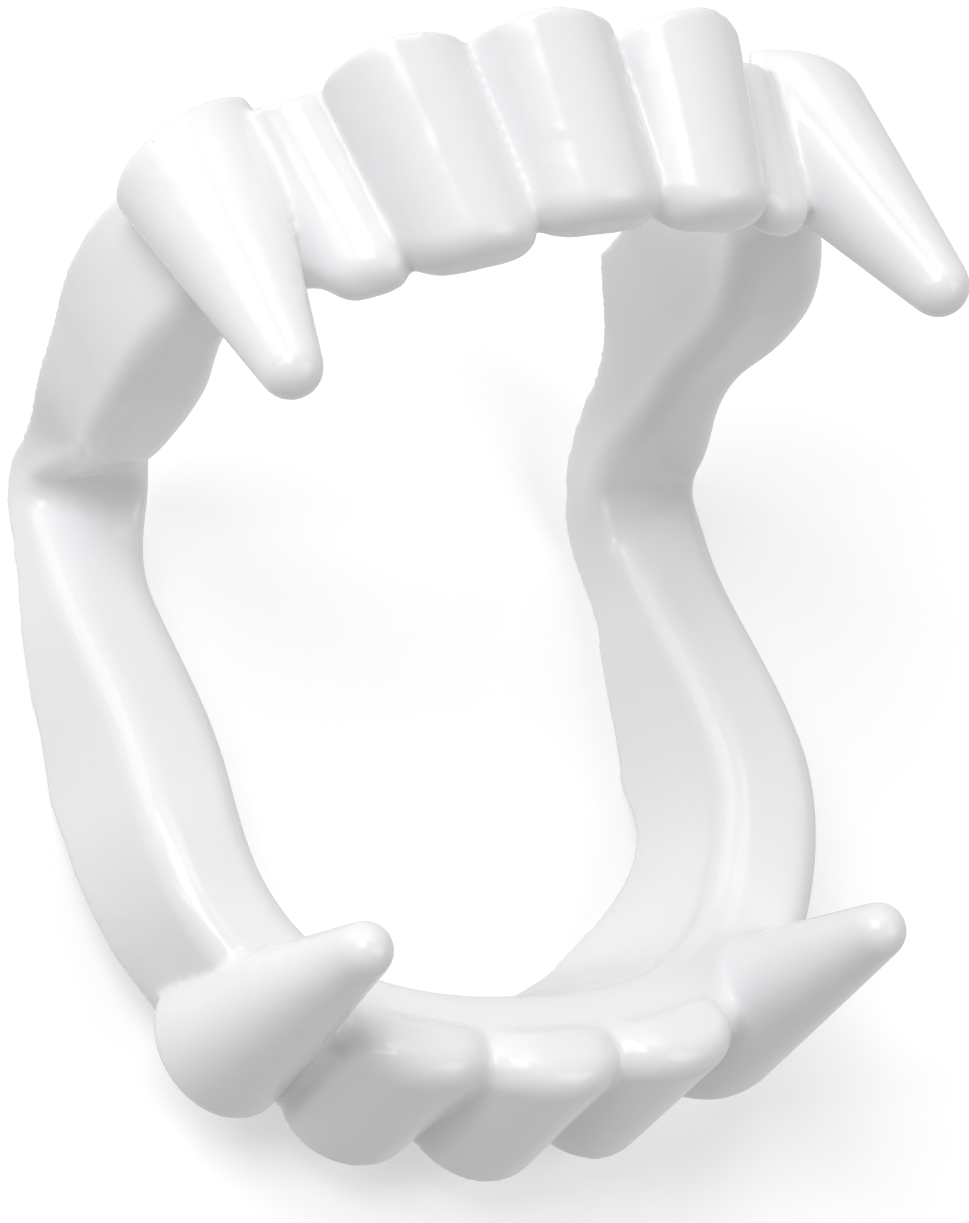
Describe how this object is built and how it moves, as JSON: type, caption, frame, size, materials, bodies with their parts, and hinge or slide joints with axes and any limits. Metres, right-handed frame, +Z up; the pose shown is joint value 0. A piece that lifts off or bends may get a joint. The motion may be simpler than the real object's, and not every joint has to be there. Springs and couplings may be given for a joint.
{
  "type": "vampire fang denture",
  "caption": "Glossy white plastic fang denture: an upper and a lower tooth tray joined by thin bends, with long fangs, worn over the teeth as a costume piece.",
  "frame": {"origin": "centre of the bounding box at its base, which is the surface the denture lies on", "axes": "+Z up from that surface; -Y the way the lower tray's front teeth and the tips of the upper fangs point; +X the wearer's left"},
  "size_m": [0.0594, 0.0646, 0.0532],
  "materials": {
    "white_plastic": "glossy"
  },
  "bodies": {
    "root": {"fang_denture": "white_plastic"}
  },
  "joints": []
}
